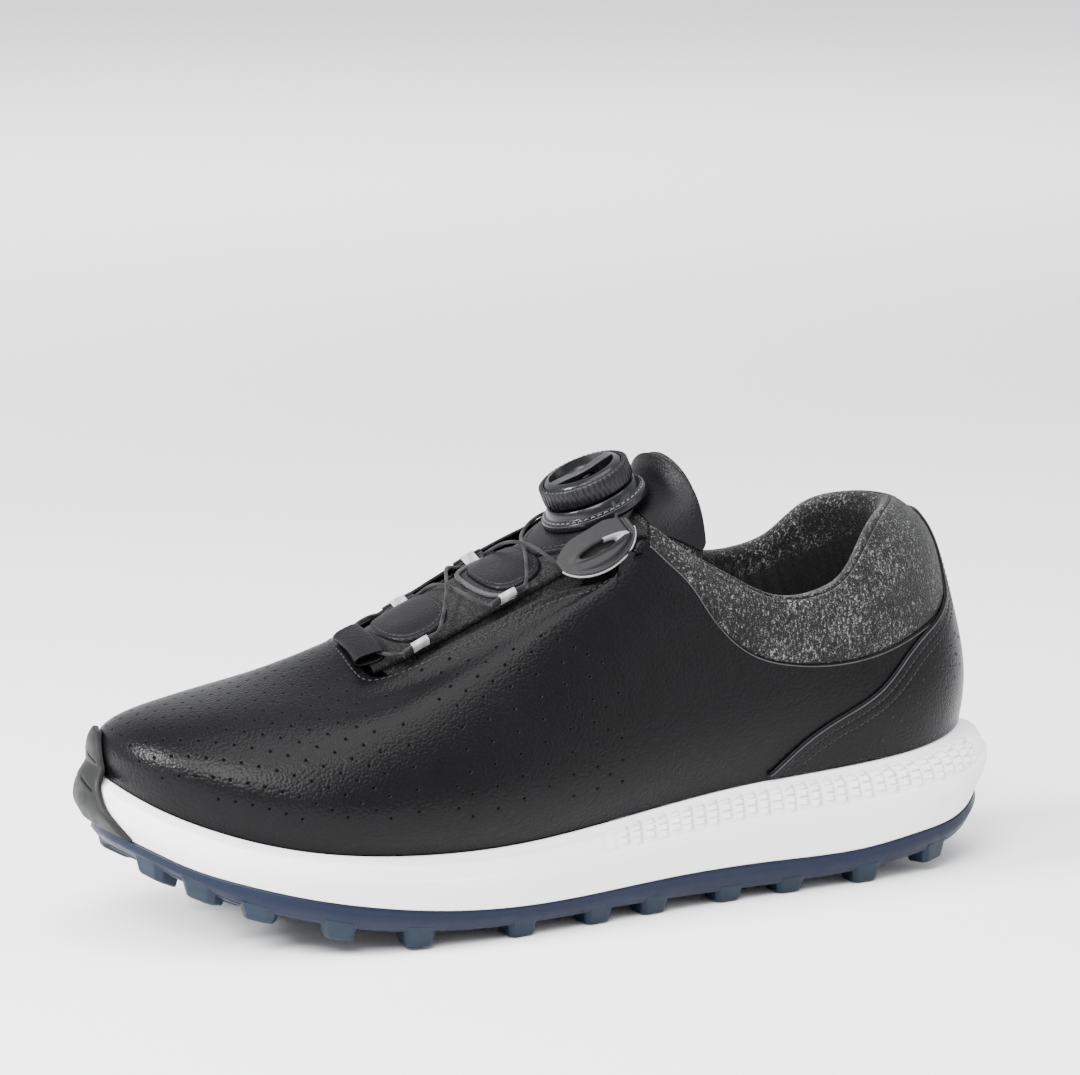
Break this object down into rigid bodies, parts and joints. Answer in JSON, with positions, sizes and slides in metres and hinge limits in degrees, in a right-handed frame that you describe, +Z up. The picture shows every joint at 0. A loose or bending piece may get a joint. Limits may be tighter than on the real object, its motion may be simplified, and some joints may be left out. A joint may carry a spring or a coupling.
{
  "type": "golf shoe",
  "caption": "Left spikeless golf shoe: black leather upper, grey knit collar, white foam midsole, blue lugged outsole and a dial that winds a cable lace.",
  "frame": {"origin": "on the ground, under the middle of the shoe's bounding box", "axes": "+X towards the heel, along the shoe; -Y the outer (lateral) side of the left shoe; +Z up"},
  "size_m": [0.2964, 0.1028, 0.1346],
  "materials": {
    "upper_leather": "fine-grained full leather, soft semi-gloss",
    "knit_grey": "grey melange knit, matt",
    "mesh_black": "black felted mesh, matt",
    "lining_black": "black textile lining, matt",
    "foam_white": "white moulded foam, satin",
    "rubber_blue": "blue rubber, satin",
    "rubber_dark": "dark grey rubber, matt",
    "rubber_grip": "black soft rubber, satin",
    "plastic_black": "black moulded plastic, glossy",
    "webbing_black": "black woven webbing with light grey woven square",
    "cable_dark": "dark coated steel cable",
    "steel": "brushed steel",
    "fibreboard": "stiff fibreboard, matt",
    "insole_foam": "foam with textile face, matt"
  },
  "bodies": {
    "shoe": {"outsole": "rubber_blue", "shank": "steel", "midsole": "foam_white", "toe_bumper": "rubber_dark", "lasting_board": "fibreboard", "insole": "insole_foam", "upper": "upper_leather", "heel_overlay": "upper_leather", "heel_counter": "fibreboard", "toe_puff": "fibreboard", "collar": "knit_grey", "lining": "lining_black", "eyestay_lateral": "upper_leather", "eyestay_medial": "upper_leather", "gusset_lateral": "mesh_black", "gusset_medial": "mesh_black", "lace_keeper": "upper_leather", "lace_guide_lateral_1": "webbing_black", "lace_guide_lateral_2": "webbing_black", "lace_guide_medial_1": "webbing_black", "lace_guide_medial_2": "webbing_black", "lace": "cable_dark", "tongue_root": "mesh_black"},
    "tongue": {"tongue": "mesh_black", "tongue_padding": "lining_black", "tongue_patch_lower": "upper_leather", "tongue_patch_upper": "upper_leather", "tongue_flap": "upper_leather", "dial_patch": "upper_leather", "dial_base": "plastic_black", "top_guide_lateral": "plastic_black", "top_guide_medial": "plastic_black", "release_spring": "steel"},
    "spool": {"spool": "plastic_black"},
    "knob_stem": {"dial_stem": "plastic_black", "axle_screw": "steel"},
    "knob": {"dial_knob": "plastic_black", "grip_ring": "rubber_grip", "drive_disc": "plastic_black"}
  },
  "joints": [
    {"name": "tongue_open", "type": "hinge", "parent": "shoe", "child": "tongue", "pos_m": [-0.0629, 0.00152, 0.079], "axis": [0, -1, 0], "range_deg": [0, 22], "deforming": ["lace", "gusset_lateral", "gusset_medial", "tongue_root"]},
    {"name": "knob_lift", "type": "slide", "parent": "tongue", "child": "knob_stem", "axis": [-0.3907, 0, 0.9205], "range_m": [0, 0.003]},
    {"name": "knob_turn", "type": "hinge", "parent": "knob_stem", "child": "knob", "pos_m": [0.0156, 0.00152, 0.1176], "axis": [-0.3907, 0, 0.9205], "continuous": true},
    {"name": "spool_turn", "type": "hinge", "parent": "tongue", "child": "spool", "pos_m": [0.0156, 0.00152, 0.1176], "axis": [-0.3907, 0, 0.9205], "continuous": true}
  ],
  "couplings": [
    {"joint": "spool_turn", "follows": "knob_turn", "ratio": 1}
  ]
}
